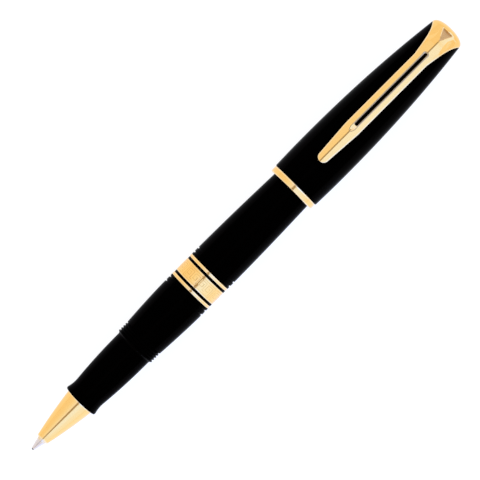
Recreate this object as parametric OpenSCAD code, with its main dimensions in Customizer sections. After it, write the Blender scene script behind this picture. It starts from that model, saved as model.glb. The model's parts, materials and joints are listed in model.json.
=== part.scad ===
// Rollerball pen with a glossy black resin body and gilt trim, its cap posted on the tail.
// It lies on its side with the clip on top. The ball points along -X and the crown along +X.
// Stations are distances along the pen from the front of the ball. Millimetres.

/* [Writing end] */
// Diameter of the ball
ball_d = 0.7; // [0.5:0.1:0.8]
// Length of the steel point that shows in front of the nose cone
point_out = 3.7; // [3:0.1:4.5]
// Radius of the steel point's tube
point_r = 1.2; // [1.1:0.05:1.25]
// Length of the nose cone
nose_len = 13.6; // [12:0.1:14]
// Radius of the nose cone where it meets the grip
nose_base_r = 4.05; // [3.9:0.01:4.2]

/* [Grip section] */
// Length of the grip from its lip to the front trim ring
grip_len = 39.3; // [38:0.05:41]
// Radius of the flared lip at the front of the grip
grip_lip_r = 4.88; // [4.8:0.01:4.95]
// Radius of the grip just in front of its ribs
grip_front_r = 5.3; // [5.2:0.01:5.4]
// Radius of the grip just behind its ribs
grip_back_r = 5.78; // [5.7:0.01:5.9]
// Number of friction ribs round the grip
rib_count = 4; // [2:1:5]
// Distance from one rib to the next
rib_pitch = 0.77; // [0.7:0.01:0.8]
// Radius over the ribs
rib_r = 5.82; // [5.8:0.01:5.85]

/* [Bands] */
// Radius over the gilt bands
band_r = 6.4; // [6.38:0.01:6.5]
// Length of the wide engraved band
band_len = 4.15; // [3.5:0.05:4.5]
// Length of each black spacer ring
spacer_len = 0.6; // [0.5:0.05:0.8]
// Length of each narrow gilt trim ring
trim_len = 0.9; // [0.8:0.05:1]

/* [Barrel] */
// Length of the barrel from the rear trim ring to the tail
barrel_len = 57.55; // [57:0.05:58]
// Radius of the barrel behind the rear trim ring
barrel_front_r = 6.38; // [6.36:0.01:6.39]
// Radius lost by the barrel at its tail
barrel_drop = 2; // [1.9:0.05:2.1]
// Thickness of the barrel's wall
barrel_wall = 0.85; // [0.7:0.05:0.9]

/* [Cap] */
// Length of the cap from its lip to the top of the crown
cap_len = 57.35; // [57:0.05:57.5]
// Length of the barrel's tail that is inside the posted cap
tail_in_cap = 28.65; // [28:0.05:29]
// Greatest radius of the cap
cap_max_r = 7.28; // [7.25:0.01:7.35]
// Radius of the cap under the crown
cap_top_r = 4.79; // [4.75:0.01:4.85]
// Thickness of the cap's wall
cap_wall = 0.7; // [0.6:0.05:0.75]
// Length of the gilt ring round the cap's mouth
lip_len = 1.8; // [1.6:0.05:1.9]
// Radius over the gilt ring round the cap's mouth
lip_r = 6.98; // [6.9:0.01:7]
// Length of the domed crown
crown_len = 2.1; // [2:0.05:2.3]
// Radius of the crown
crown_r = 4.72; // [4.7:0.01:4.8]

/* [Clip] */
// Half width of the clip's arm
clip_half_w = 2.15; // [2:0.05:2.3]
// Half width of the clip at its rounded free end
clip_tip_half_w = 1.45; // [1.3:0.05:1.6]
// Height of the clip's ridge above the pen's axis at its hinge line
clip_ridge_z = 6.9; // [6.8:0.05:7.1]
// Fall from the clip's ridge to its edges
clip_fall = 0.8; // [0.6:0.05:0.9]
// Thickness of the clip's metal
clip_t = 0.75; // [0.6:0.05:0.8]
// Half width of the clip's slot
slot_half_w = 0.43; // [0.3:0.01:0.5]

/* [Section thread] */
// Pitch of the thread between section and barrel
thread_pitch = 0.8; // [0.8:0.05:0.85]
// Mean radius of the male thread
thread_r = 4.75; // [4.7:0.01:4.8]
// Half of the thread's depth
thread_depth = 0.22; // [0.15:0.01:0.24]
// Radial clearance in the thread
thread_gap = 0.12; // [0.1:0.01:0.15]

/* [Refill] */
// Length of the refill from the ball to its rear plug
refill_len = 110.6; // [110:0.1:111]
// Outer radius of the refill's tube
refill_r = 3; // [2.95:0.01:3.05]
// Wall of the refill's tube
refill_wall = 0.4; // [0.3:0.05:0.45]

/* [Hidden] */

// Segments round a turned part
turn_fn = 96;
// Steps along a curved outline
steps = 12;

// Stations along the pen
nose_s = point_out;
grip_s = nose_s + nose_len;
front_trim_s = grip_s + grip_len;
front_spacer_s = front_trim_s + trim_len;
band_s = front_spacer_s + spacer_len;
rear_spacer_s = band_s + band_len;
rear_trim_s = rear_spacer_s + spacer_len;
barrel_s = rear_trim_s + trim_len;
tail_s = barrel_s + barrel_len;
lip_s = tail_s - tail_in_cap;
shell_s = lip_s + lip_len;
top_s = lip_s + cap_len;
crown_s = top_s - crown_len;

// The cap is the widest part, so it rests on the ground plane
axis_h = cap_max_r;

// Writing end
ball_r = ball_d / 2;
ball_gap = 0.02;
ball_out = 0.2;
feed_r = 0.4;
feed_back_s = 34;
reservoir_s = 24;
point_rim_r = 0.42;
point_back_s = 13;
collar_s = 10.4;
collar_r = 2.1;
shoulder_s = 13.6;
tube_s = 17.6;
plug_flange = 2;
reservoir_end_s = 104;
seat_gap = 0.05;
nose_bore_r = 1.32;
nose_edge_r = 0.15;
nose_slope = 0.125;
nose_curve = 0.0036;
nose_spigot_r = 3.72;
nose_spigot_len = 5;
refill_bore_r = refill_r + 0.2;

// Grip section
grip_bore_r = nose_spigot_r + 0.03;
lip_edge_s = grip_s + 0.6;
waist_s = grip_s + 3.6;
waist_r = grip_front_r - 0.69;
waist_slope = 0.092;
grip_ribs_s = grip_s + 19.4;
grip_back_s = grip_ribs_s + rib_count * rib_pitch + 0.3;
rib_root_r = 5.45;
collar_front_s = front_trim_s - 2.5;
groove_w = 0.4;
groove_depth = 0.3;
groove_step = 1.4;
groove_edge_gap = 0.6;
core_r = 3.9;
core_s = grip_s + nose_spigot_len + 0.1;
nipple_s = grip_s + 33;
grip_socket_r = 4.8;

// Section thread
nipple_bore_r = 3.35;
nipple_thread_s = front_spacer_s + 0.1;
nipple_end_s = nipple_thread_s + 5.1;
nipple_rows = round(8 * (nipple_end_s - nipple_thread_s) / thread_pitch);
insert_r = 5.5;
insert_len = 10.4;
insert_end_s = front_spacer_s + insert_len;
insert_thread_end_s = nipple_end_s + 0.6;
insert_rows = round(8 * (insert_thread_end_s - front_spacer_s) / thread_pitch);
thread_fn = 24;
trim_bore_r = thread_r + 0.4;

// Barrel
band_bore_r = insert_r + 0.02;
spacer_drop = 0.08;
band_edge = 0.15;
trim_edge = 0.2;
taper_power = 1.85;
plug_s = tail_s - 3;
plug_spigot_r = 3.3;
tail_edge_r = 0.9;
spring_coil_r = 2.2;
spring_wire_r = 0.22;
spring_turns = 5;
spring_s = refill_len + 0.1;
spring_end_s = plug_s - 1;

// Cap
fit_gap = 0.06;
cap_widest_s = lip_s + 12.05;
cap_front_drop = 0.19;
cap_power = 2.12;
clutch_len = 5;
liner_wall = 0.8;
liner_s = lip_s + 21.2;
seat_s = crown_s - 1;
shell_floor_s = seat_s - 1.7;
liner_floor_s = shell_floor_s - 1.2;
stud_r = 1.5;
stud_hole_r = stud_r + 0.05;
head_r = 2.4;
head_len = 1.5;
washer_t = 0.5;
washer_r = 2.6;

// Clip
hinge_s = crown_s - 5.7;
hinge_gap = 0.1;
clip_front_s = lip_s + 10;
clip_straight_s = crown_s - 9.5;
clip_full_w_s = lip_s + 21.4;
clip_rise = 3.6;
slot_front_s = lip_s + 22.75;
slot_back_s = crown_s - 7.3;
root_flare = 2.55;
root_ring_r = 4.1;
root_neck_half_w = 2.4;
pad_r = 2.2;
pad_gap = 0.15;
pad_s = clip_front_s + 2.6;
pocket_s = crown_s - 2.7;
pocket_len = 3.3;
pocket_half_w = 1.26;
pocket_tilt = 33;
pocket_drop = 0.5;
pocket_power = 1.2;
big = 60;

// Radius of the nose cone at station s
function nose_r(s) = nose_base_r - nose_slope * (grip_s - s) - nose_curve * pow(grip_s - s, 2);

// Radius of the grip in front of its ribs: a waist that flares to the lip
function grip_lead_r(s) = s < waist_s
    ? waist_r + waist_slope * (s - waist_s) + waist_flare() * pow(waist_s - s, 2)
    : grip_front_r - (grip_front_r - waist_r) * pow((grip_ribs_s - 0.8 - s) / (grip_ribs_s - 0.8 - waist_s), 2);

function waist_flare() =
    (grip_lip_r - waist_r + waist_slope * (waist_s - lip_edge_s)) / pow(waist_s - lip_edge_s, 2);

// Radius of the grip behind its ribs
function grip_rear_r(s) = barrel_front_r
    - (barrel_front_r - grip_back_r) * pow((collar_front_s - s) / (collar_front_s - grip_back_s), 1.6);

// Radius of the barrel, which tapers ever faster towards its tail
function barrel_r(s) = barrel_front_r - barrel_drop * pow((s - barrel_s) / barrel_len, taper_power);

// Radius of the cap, widest at cap_widest_s
function cap_r(s) = s < cap_widest_s
    ? cap_max_r - cap_front_drop * pow((cap_widest_s - s) / (cap_widest_s - shell_s), 2)
    : cap_max_r - (cap_max_r - cap_top_r) * pow((s - cap_widest_s) / (crown_s - cap_widest_s), cap_power);

// Radius of the crown, rounded over to a point on the axis
function crown_dome_r(s) = crown_r * pow(max(0, 1 - pow((s - crown_s) / crown_len, 2.5)), 0.47);

// Half width of the clip seen from above, from its tip to its flare at the crown
function clip_w(s) = s < clip_full_w_s
    ? clip_tip_half_w + (clip_half_w - clip_tip_half_w) * (s - clip_front_s - clip_tip_half_w)
        / (clip_full_w_s - clip_front_s - clip_tip_half_w)
    : s < clip_straight_s ? clip_half_w : clip_half_w + flare((s - clip_straight_s) / (crown_s - clip_straight_s));

function flare(u) = (root_flare - 1.05) * u + 1.05 * pow(u, 5);

function along(a, b, n = steps) = [for (i = [0 : n]) a + (b - a) * i / n];

module pen() {
    translate([-top_s / 2, 0, axis_h]) children();
}

// Turns an outline of [radius, station] about the pen's axis
module turned() {
    pen() rotate([0, 90, 0]) rotate_extrude($fn = turn_fn) children();
}

module bar(r_in, r_out, s0, s1) {
    translate([r_in, s0]) square([r_out - r_in, s1 - s0]);
}

// A bar whose two outer corners are rounded
module soft_bar(r_in, r_out, s0, s1, edge) {
    bar(r_in, r_out - edge, s0, s1);
    bar(r_in, r_out, s0 + edge, s1 - edge);
    translate([r_out - edge, s0 + edge]) circle(edge, $fn = 32);
    translate([r_out - edge, s1 - edge]) circle(edge, $fn = 32);
}

// Writing end

module ball() {
    color("dimgray") pen() translate([ball_r, 0, 0]) sphere(ball_r, $fn = 48);
}

module refill_point() {
    color("silver") difference() {
        turned() difference() {
            union() {
                polygon([[0, ball_out], [point_rim_r, ball_out], [point_r - 0.05, nose_s - 0.4], [0, nose_s - 0.4]]);
                bar(0, point_r, nose_s - 0.4, point_back_s);
            }
            bar(0, feed_r + 0.05, 2 * ball_r + 0.3, point_back_s);
            bar(0, ball_r / 2, ball_r, 2 * ball_r + 0.4);
        }
        pen() translate([ball_r, 0, 0]) sphere(ball_r + ball_gap, $fn = 48);
    }
}

module refill_feed() {
    color("white") turned() bar(0, feed_r, 2 * ball_r + 0.35, feed_back_s);
}

module refill_collar() {
    color("gainsboro") turned() difference() {
        union() {
            soft_bar(point_r, collar_r, collar_s, shoulder_s + 0.2, 0.3);
            bar(point_r, refill_r - 0.1, shoulder_s, tube_s);
            bar(point_r, refill_r - refill_wall - 0.02, tube_s, tube_s + 5);
        }
        bar(0, point_r + 0.01, 0, point_back_s + 0.1);
    }
}

module refill_tube() {
    color("lightgray") turned() bar(refill_r - refill_wall, refill_r, tube_s, refill_len - plug_flange);
}

module ink_reservoir() {
    color("navy") turned() difference() {
        bar(0, refill_r - refill_wall - 0.1, reservoir_s, reservoir_end_s);
        bar(0, feed_r + 0.05, reservoir_s, feed_back_s + 0.2);
    }
}

module refill_plug() {
    color("black") turned() difference() {
        union() {
            bar(0, refill_r - refill_wall - 0.02, refill_len - plug_flange - 2.5, refill_len - plug_flange);
            soft_bar(0.4, refill_r, refill_len - plug_flange, refill_len, 0.3);
        }
        bar(0, 0.4, 0, refill_len + 1);
    }
}

module nose_cone() {
    color("goldenrod") turned() difference() {
        union() {
            intersection() {
                polygon(concat(
                    [[0, nose_s]],
                    [for (s = along(nose_s, grip_s)) [nose_r(s), s]],
                    [[0, grip_s]]));
                union() {
                    bar(0, nose_r(nose_s) - nose_edge_r, nose_s, grip_s);
                    bar(0, big, nose_s + nose_edge_r, grip_s);
                    translate([nose_r(nose_s) - nose_edge_r, nose_s + nose_edge_r]) circle(nose_edge_r, $fn = 32);
                }
            }
            bar(0, nose_spigot_r, grip_s, grip_s + nose_spigot_len);
        }
        bar(0, nose_bore_r, nose_s - 1, collar_s);
        bar(0, collar_r + 0.2, collar_s - 0.9, shoulder_s);
        bar(0, refill_bore_r, shoulder_s - seat_gap, grip_s + nose_spigot_len + 1);
    }
}

// Grip section

// Outline of the grip's outside, from the lip over the ribs to the rear collar
module grip_outline() {
    polygon(concat(
        [[0, grip_s], [grip_lip_r - 0.12, grip_s], [grip_lip_r, grip_s + 0.12]],
        [for (s = along(lip_edge_s, grip_ribs_s - 0.3)) [grip_lead_r(s), s]],
        [for (i = [0 : rib_count - 1]) each [
            [rib_root_r, grip_ribs_s + i * rib_pitch],
            [rib_r, grip_ribs_s + (i + 0.4) * rib_pitch],
            [rib_r, grip_ribs_s + (i + 0.6) * rib_pitch]]],
        [[rib_root_r, grip_ribs_s + rib_count * rib_pitch]],
        [for (s = along(grip_back_s, collar_front_s)) [grip_rear_r(s), s]],
        [[barrel_front_r, front_trim_s], [0, front_trim_s]]));
}

// Two fine grooves that set off the bands, cut from station s towards +1 or -1
module grooves(s, side) {
    for (i = [0, 1])
        let (mid = s + side * (groove_edge_gap + groove_w / 2 + i * groove_step))
            bar(barrel_front_r - groove_depth, big, mid - groove_w / 2, mid + groove_w / 2);
}

module grip_section() {
    color("black") turned() difference() {
        grip_outline();
        bar(0, grip_bore_r, grip_s - 1, core_s);
        bar(0, core_r + 0.02, core_s, nipple_s);
        bar(0, grip_socket_r, nipple_s, front_trim_s + 1);
        grooves(front_trim_s, -1);
    }
}

module section_core() {
    color("darkgoldenrod") turned() bar(refill_bore_r, core_r, core_s, nipple_s - 0.1);
}

// Point on a circle of radius r about the pen's axis, at station s and angle a
function ring_point(r, s, a) = [s, r * cos(a), r * sin(a)];

// Right-hand thread wave, 1 on its crest and -1 in its root
function thread_wave(s, a) = cos(360 * s / thread_pitch - a);

// Closed tube between an outer and an inner height map, each a list of rings of equal size
module sleeve(rings) {
    n = len(rings[0]);
    rows = len(rings);
    polyhedron(
        points = [for (ring = rings) each ring],
        faces = [for (i = [0 : rows - 1], j = [0 : n - 1])
            let (k = (i + 1) % rows, m = (j + 1) % n)
                each [[i * n + j, k * n + j, k * n + m], [i * n + j, k * n + m, i * n + m]]],
        convexity = 10);
}

// Threaded nipple that the section screws into the barrel with
module section_nipple() {
    function male_r(s, a, fade) = thread_r + thread_depth * (fade * (thread_wave(s, a) + 1) - 1);
    function ring(r, s) = [for (j = [0 : thread_fn - 1]) ring_point(r, s, j * 360 / thread_fn)];
    thread = [for (i = [0 : nipple_rows])
        let (
            s = nipple_thread_s + (nipple_end_s - nipple_thread_s) * i / nipple_rows,
            fade = min(1, i / 4, (nipple_rows - i) / 4))
            [for (j = [0 : thread_fn - 1]) let (a = j * 360 / thread_fn) ring_point(male_r(s, a, fade), s, a)]];
    color("darkgoldenrod") pen() sleeve(concat(
        [ring(nipple_bore_r, nipple_s), ring(thread_r, nipple_s), ring(thread_r, nipple_thread_s - 0.1)],
        thread,
        [ring(nipple_bore_r, nipple_end_s)]));
}

// Bands between the section and the barrel

module trim_ring(s, r_in) {
    color("goldenrod") turned() soft_bar(r_in, band_r, s, s + trim_len, trim_edge);
}

module spacer_ring(s) {
    color("black") turned() bar(band_bore_r, band_r - spacer_drop, s, s + spacer_len);
}

module front_trim_ring() {
    trim_ring(front_trim_s, trim_bore_r);
}

module front_spacer() {
    spacer_ring(front_spacer_s);
}

module engraved_band() {
    color("goldenrod") turned() soft_bar(band_bore_r, band_r, band_s, rear_spacer_s, band_edge);
}

module rear_spacer() {
    spacer_ring(rear_spacer_s);
}

module rear_trim_ring() {
    trim_ring(rear_trim_s, band_bore_r);
}

// Barrel

// Threaded bush in the barrel's mouth, which also carries the bands
module barrel_insert() {
    relief_r = thread_r + thread_gap + thread_depth;
    function female_r(s, a, fade) = relief_r + thread_depth * fade * (thread_wave(s, a) - 1);
    function ring(r, s) = [for (j = [0 : thread_fn - 1]) ring_point(r, s, j * 360 / thread_fn)];
    thread = [for (i = [0 : insert_rows])
        let (
            s = front_spacer_s + (insert_thread_end_s - front_spacer_s) * i / insert_rows,
            fade = min(1, i / 4, (insert_rows - i) / 4))
            [for (j = [0 : thread_fn - 1]) let (a = j * 360 / thread_fn) ring_point(female_r(s, a, fade), s, a)]];
    color("darkgoldenrod") pen() sleeve(concat(
        [ring(insert_r, insert_end_s), ring(insert_r, front_spacer_s)],
        thread,
        [ring(relief_r, insert_end_s)]));
}

module barrel_shell() {
    color("black") turned() difference() {
        polygon(concat([[0, barrel_s]], [for (s = along(barrel_s, plug_s)) [barrel_r(s), s]], [[0, plug_s]]));
        bar(0, band_bore_r, barrel_s - 1, insert_end_s);
        polygon(concat(
            [[0, insert_end_s]],
            [for (s = along(insert_end_s, plug_s)) [barrel_r(s) - barrel_wall, s]],
            [[0, plug_s]]));
        grooves(barrel_s, 1);
    }
}

module tail_plug() {
    color("black") turned() difference() {
        union() {
            intersection() {
                polygon(concat([[0, plug_s]], [for (s = along(plug_s, tail_s, 4)) [barrel_r(s), s]], [[0, tail_s]]));
                soft_bar(0, barrel_r(plug_s) + 0.02, plug_s - 2, tail_s, tail_edge_r);
            }
            bar(0, plug_spigot_r, plug_s - 4, plug_s);
        }
        bar(0, spring_coil_r + spring_wire_r + 0.2, plug_s - 5, spring_end_s);
    }
}

// Coil spring that keeps the refill forward
module tail_spring() {
    sides = 6;
    turn_steps = 16;
    rows = spring_turns * turn_steps;
    lead = spring_end_s - spring_s - 2 * spring_wire_r;
    function wire_ring(i) =
        let (a = i * 360 / turn_steps, s = spring_s + spring_wire_r + lead * i / rows)
            [for (j = [0 : sides - 1])
                let (b = j * 360 / sides)
                    ring_point(spring_coil_r + spring_wire_r * cos(b), s + spring_wire_r * sin(b), a)];
    color("silver") pen() polyhedron(
        points = [for (i = [0 : rows]) each wire_ring(i)],
        faces = concat(
            [[for (j = [sides - 1 : -1 : 0]) j]],
            [for (i = [0 : rows - 1], j = [0 : sides - 1])
                let (m = (j + 1) % sides)
                    each [
                        [i * sides + j, i * sides + m, (i + 1) * sides + m],
                        [i * sides + j, (i + 1) * sides + m, (i + 1) * sides + j]]],
            [[for (j = [0 : sides - 1]) rows * sides + j]]),
        convexity = 10);
}

// Cap

module cap_lip_ring() {
    color("goldenrod") turned() soft_bar(barrel_r(lip_s) + fit_gap, lip_r, lip_s, shell_s, 0.35);
}

module cap_clutch() {
    color("dimgray") turned()
        bar(barrel_r(lip_s) + fit_gap, cap_r(shell_s) - cap_wall - 0.02, shell_s, shell_s + clutch_len);
}

module cap_shell() {
    color("black") difference() {
        cap_tube();
        rim_notch(root_neck_half_w + 0.02, seat_s);
    }
}

// Notch in the cap's rim that the clip's root passes through
module rim_notch(half_w, s) {
    pen() translate([s, -half_w, 0]) cube([3, 2 * half_w, big]);
}

module cap_tube() {
    turned() difference() {
        polygon(concat(
            [[0, shell_s]],
            [for (s = along(shell_s, cap_widest_s, 6)) [cap_r(s), s]],
            [for (s = along(cap_widest_s + 2, crown_s, 20)) [cap_r(s), s]],
            [[0, crown_s]]));
        polygon(concat(
            [[0, shell_s - 1], [cap_r(shell_s) - cap_wall, shell_s - 1]],
            [for (s = along(shell_s, shell_floor_s, 20)) [cap_r(s) - cap_wall, s]],
            [[0, shell_floor_s]]));
        bar(0, stud_hole_r, shell_floor_s - 1, seat_s + 1);
        bar(0, root_ring_r + 0.02, seat_s, crown_s + 1);
    }
}

// Plastic liner that shields the point when the cap is on the nose
module inner_cap() {
    gap = cap_wall + 0.08;
    color("dimgray") turned() difference() {
        polygon(concat(
            [[0, liner_s]],
            [for (s = along(liner_s, shell_floor_s)) [cap_r(s) - gap, s]],
            [[0, shell_floor_s]]));
        polygon(concat(
            [[0, liner_s - 1], [cap_r(liner_s) - gap - liner_wall, liner_s - 1]],
            [for (s = along(liner_s, liner_floor_s)) [cap_r(s) - gap - liner_wall, s]],
            [[0, liner_floor_s]]));
        bar(0, stud_hole_r, liner_floor_s - 1, shell_floor_s + 1);
    }
}

// Crown

module crown() {
    color("goldenrod") difference() {
        turned() difference() {
            polygon(concat(
                [[0, crown_s]],
                [for (u = along(0, 1, 18)) let (s = crown_s + crown_len * sin(90 * u)) [crown_dome_r(s), s]]));
            bar(0, stud_hole_r, crown_s - 1, top_s - 0.8);
        }
        crown_pocket();
    }
}

module crown_screw() {
    color("silver") difference() {
        turned() {
            soft_bar(0, head_r, liner_floor_s - washer_t - head_len, liner_floor_s - washer_t, 0.3);
            bar(0, stud_r, liner_floor_s - washer_t, top_s - 0.9);
        }
        pen() translate([liner_floor_s - washer_t - head_len - 1, -big / 2, -0.3]) cube([1.6, big, 0.6]);
    }
}

module crown_washer() {
    color("silver") turned() bar(stud_hole_r, washer_r, liner_floor_s - washer_t, liner_floor_s);
}

// Clip

// Block under the clip's roof-shaped top, from station s0 to s1; t is its thickness
module clip_roof(s0, s1, half_w, t) {
    fall = clip_fall * half_w / clip_half_w;
    pen() translate([hinge_s, 0, clip_ridge_z]) rotate([0, clip_rise, 0]) translate([s0 - hinge_s, 0, 0])
        rotate([90, 0, 90]) linear_extrude(s1 - s0)
            polygon([[-half_w, -fall], [0, 0], [half_w, -fall], [half_w, -fall - t], [0, -t], [-half_w, -fall - t]]);
}

// Upright block with the clip's outline seen from above
module clip_plan(s0, s1) {
    pen() linear_extrude(big)
        polygon(concat(
            [for (s = along(s0, s1, 16)) [s, clip_w(s)]],
            [for (s = along(s1, s0, 16)) [s, -clip_w(s)]]));
}

module clip_arm() {
    round_s = clip_front_s + clip_tip_half_w;
    color("goldenrod") difference() {
        union() {
            intersection() {
                clip_roof(clip_front_s - 2, hinge_s - hinge_gap, 4, clip_t);
                union() {
                    clip_plan(round_s, clip_full_w_s);
                    clip_plan(clip_full_w_s, hinge_s + 2);
                    pen() translate([round_s, 0, 0]) cylinder(h = big, r = clip_tip_half_w, $fn = 48);
                }
            }
            clip_pad();
        }
        clip_slot();
    }
}

// Rounded pad under the clip's free end, which grips a pocket
module clip_pad() {
    pen() intersection() {
        translate([pad_s, 0, cap_max_r + pad_gap + pad_r]) sphere(pad_r, $fn = 48);
        translate([pad_s - pad_r, -1.2, cap_max_r]) cube([2 * pad_r, 2.4, 1.6]);
    }
}

module clip_slot() {
    pen() {
        translate([slot_front_s + slot_half_w, -slot_half_w, 0])
            cube([slot_back_s - slot_front_s - 2 * slot_half_w, 2 * slot_half_w, big]);
        translate([slot_front_s + slot_half_w, 0, 0]) cylinder(h = big, r = slot_half_w, $fn = 32);
        translate([slot_back_s - slot_half_w, 0, 0]) cylinder(h = big, r = slot_half_w, $fn = 32);
    }
}

// Flare of the clip over the top of the cap
module clip_head() {
    intersection() {
        clip_roof(hinge_s, crown_s + 2, 12, big);
        clip_plan(hinge_s, crown_s);
        turned() polygon([
            [0, hinge_s - 0.1], [8, hinge_s - 0.1], [6.7, crown_s - 2.4], [6, crown_s - 1.2],
            [5.4, crown_s - 0.5], [cap_top_r + 0.15, crown_s], [0, crown_s]]);
    }
}

// Clip's root: its flared head, a neck through the notch, and the ring that the crown clamps in the cap's rim
module clip_root() {
    color("goldenrod") difference() {
        union() {
            difference() {
                clip_head();
                difference() {
                    turned() polygon(concat(
                        [[0, hinge_s - 1]],
                        [for (s = along(hinge_s - 1, crown_s)) [cap_r(s) + 0.02, s]],
                        [[cap_top_r + 0.02, crown_s + 1], [0, crown_s + 1]]));
                    turned() bar(0, root_ring_r - 0.05, seat_s + 0.05, crown_s + 2);
                    rim_notch(root_neck_half_w, seat_s + 0.05);
                }
            }
            turned() bar(0, root_ring_r, seat_s, crown_s);
        }
        turned() bar(0, stud_hole_r, seat_s - 1, crown_s + 1);
        crown_pocket();
    }
}

// Pointed pocket with curved sides, sunk into the crown over the clip's ridge
module crown_pocket() {
    pen() translate([pocket_s, 0, clip_ridge_z - pocket_drop]) rotate([0, pocket_tilt, 0]) linear_extrude(4)
        polygon(concat(
            [for (u = along(0, 1, 8)) [u * pocket_len / cos(pocket_tilt), pocket_half_w * pow(u, pocket_power)]],
            [for (u = along(1, 0, 8)) [u * pocket_len / cos(pocket_tilt), -pocket_half_w * pow(u, pocket_power)]]));
}

ball();
refill_point();
refill_feed();
refill_collar();
refill_tube();
ink_reservoir();
refill_plug();
nose_cone();
grip_section();
section_core();
section_nipple();
front_trim_ring();
front_spacer();
engraved_band();
rear_spacer();
rear_trim_ring();
barrel_insert();
barrel_shell();
tail_plug();
tail_spring();
cap_lip_ring();
cap_clutch();
cap_shell();
inner_cap();
clip_arm();
clip_root();
crown();
crown_screw();
crown_washer();
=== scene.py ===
"""Looks of a rollerball pen with a black resin body and gilt trim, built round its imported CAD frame.

Lengths in the outlines are millimetres: s runs along the pen from the front of the ball, r is the
distance from the pen's axis, and z is the height above that axis.
"""

import math

import bmesh
import bpy
import numpy as np
from mathutils import Matrix, Vector
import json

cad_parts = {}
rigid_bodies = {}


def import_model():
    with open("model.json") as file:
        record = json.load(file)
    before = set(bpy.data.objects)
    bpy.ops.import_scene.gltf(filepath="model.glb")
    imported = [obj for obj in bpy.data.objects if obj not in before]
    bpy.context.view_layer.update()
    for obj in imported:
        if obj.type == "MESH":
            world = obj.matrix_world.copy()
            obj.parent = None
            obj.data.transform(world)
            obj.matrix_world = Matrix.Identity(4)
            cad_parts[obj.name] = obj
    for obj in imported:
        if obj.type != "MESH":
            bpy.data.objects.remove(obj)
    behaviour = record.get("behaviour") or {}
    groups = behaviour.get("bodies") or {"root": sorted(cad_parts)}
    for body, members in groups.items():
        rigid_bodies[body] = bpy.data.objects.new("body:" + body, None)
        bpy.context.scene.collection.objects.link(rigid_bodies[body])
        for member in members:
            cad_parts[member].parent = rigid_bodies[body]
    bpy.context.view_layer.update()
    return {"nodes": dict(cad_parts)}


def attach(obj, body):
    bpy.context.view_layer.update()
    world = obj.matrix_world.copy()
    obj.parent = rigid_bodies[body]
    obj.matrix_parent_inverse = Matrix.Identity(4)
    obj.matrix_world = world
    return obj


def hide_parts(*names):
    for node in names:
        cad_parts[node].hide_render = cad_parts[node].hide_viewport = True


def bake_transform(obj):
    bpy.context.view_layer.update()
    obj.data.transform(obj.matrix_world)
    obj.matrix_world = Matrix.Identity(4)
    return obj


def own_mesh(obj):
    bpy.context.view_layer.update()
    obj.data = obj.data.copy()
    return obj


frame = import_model()

# ---------------------------------------------------------------- sizes, as in the CAD source

HALF = 75.0                  # station of the frame's origin
AXIS = 7.28                  # height of the pen's axis above the ground

# stations where the pieces meet, from the point to the crown
NOSE, GRIP, RING_1, SPACER_1 = 3.7, 17.3, 56.6, 57.5
BAND, SPACER_2, RING_2, BARREL, TAIL = 58.1, 62.25, 62.85, 63.75, 121.3
LIP, SHELL, CROWN, TOP = 92.65, 94.45, 147.9, 150.0
NIPPLE = GRIP + 33           # front of the nipple, in its socket at the back of the grip
BUSH_END = SPACER_1 + 10.4   # back of the threaded bush in the barrel
LINER = LIP + 21.2           # mouth of the cap's liner
LINER_FLOOR, CAP_FLOOR = CROWN - 3.9, CROWN - 2.7
HINGE = 142.2                # where the clip bends

SPIGOT_R = 3.72              # nose cone's spigot
BAND_R = 6.4                 # outside of the bands
COLLAR_R = 6.38              # resin next to them
BORE = 5.52                  # bore of the bands, over the threaded bush
BARREL_WALL, CAP_WALL = 0.85, 0.7
CAP_R = 7.28                 # widest part of the cap
LINER_R = 0.08 + CAP_WALL    # from the cap's outside in to the liner
STUD_R = 1.55                # hole for the crown's screw

# thread between section and barrel
PITCH, THREAD_DEPTH = 0.8, 0.22
MALE_R, FEMALE_R = 4.75, 5.09
MALE_0, MALE_1 = SPACER_1 + 0.1, SPACER_1 + 5.2
FEMALE_1 = SPACER_1 + 5.8


def ease(x):
    """Smooth step from 0 to 1."""
    x = np.clip(x, 0.0, 1.0)
    return x * x * (3 - 2 * x)


def nose_r(s):
    """Nose cone, very slightly bowed."""
    return 4.05 - 0.125 * (GRIP - s) - 0.0036 * (GRIP - s) ** 2


def grip_r(s):
    """Grip from its flared lip over the waist to the ribs, then on to the rear collar."""
    waist, lip, ribs, back = GRIP + 3.6, GRIP + 0.6, GRIP + 19.4, GRIP + 22.78
    if s < waist:
        flare = (4.88 - 4.61 + 0.092 * (waist - lip)) / (waist - lip) ** 2
        return 4.61 + 0.092 * (s - waist) + flare * (waist - s) ** 2
    if s < ribs:
        return 5.3 - 0.69 * ((ribs - 0.8 - s) / (ribs - 0.8 - waist)) ** 2
    front = RING_1 - 2.5
    return COLLAR_R - (COLLAR_R - 5.78) * max(0.0, (front - s) / (front - back)) ** 1.6


def barrel_r(s):
    """Barrel, which thins towards its tail."""
    return COLLAR_R - 2.0 * max(0.0, (s - BARREL) / (TAIL - BARREL)) ** 1.85


def cap_r(s):
    """Cap, which swells a little behind its mouth and then closes in towards the crown."""
    widest = LIP + 12.05
    if s < widest:
        return CAP_R - 0.19 * ((widest - s) / (widest - SHELL)) ** 2
    return CAP_R - 2.49 * ((s - widest) / (CROWN - widest)) ** 2.12


def steps(a, b, n):
    """n + 1 even steps from a to b."""
    return [a + (b - a) * i / n for i in range(n + 1)]


# ---------------------------------------------------------------- clip's sizes

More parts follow.
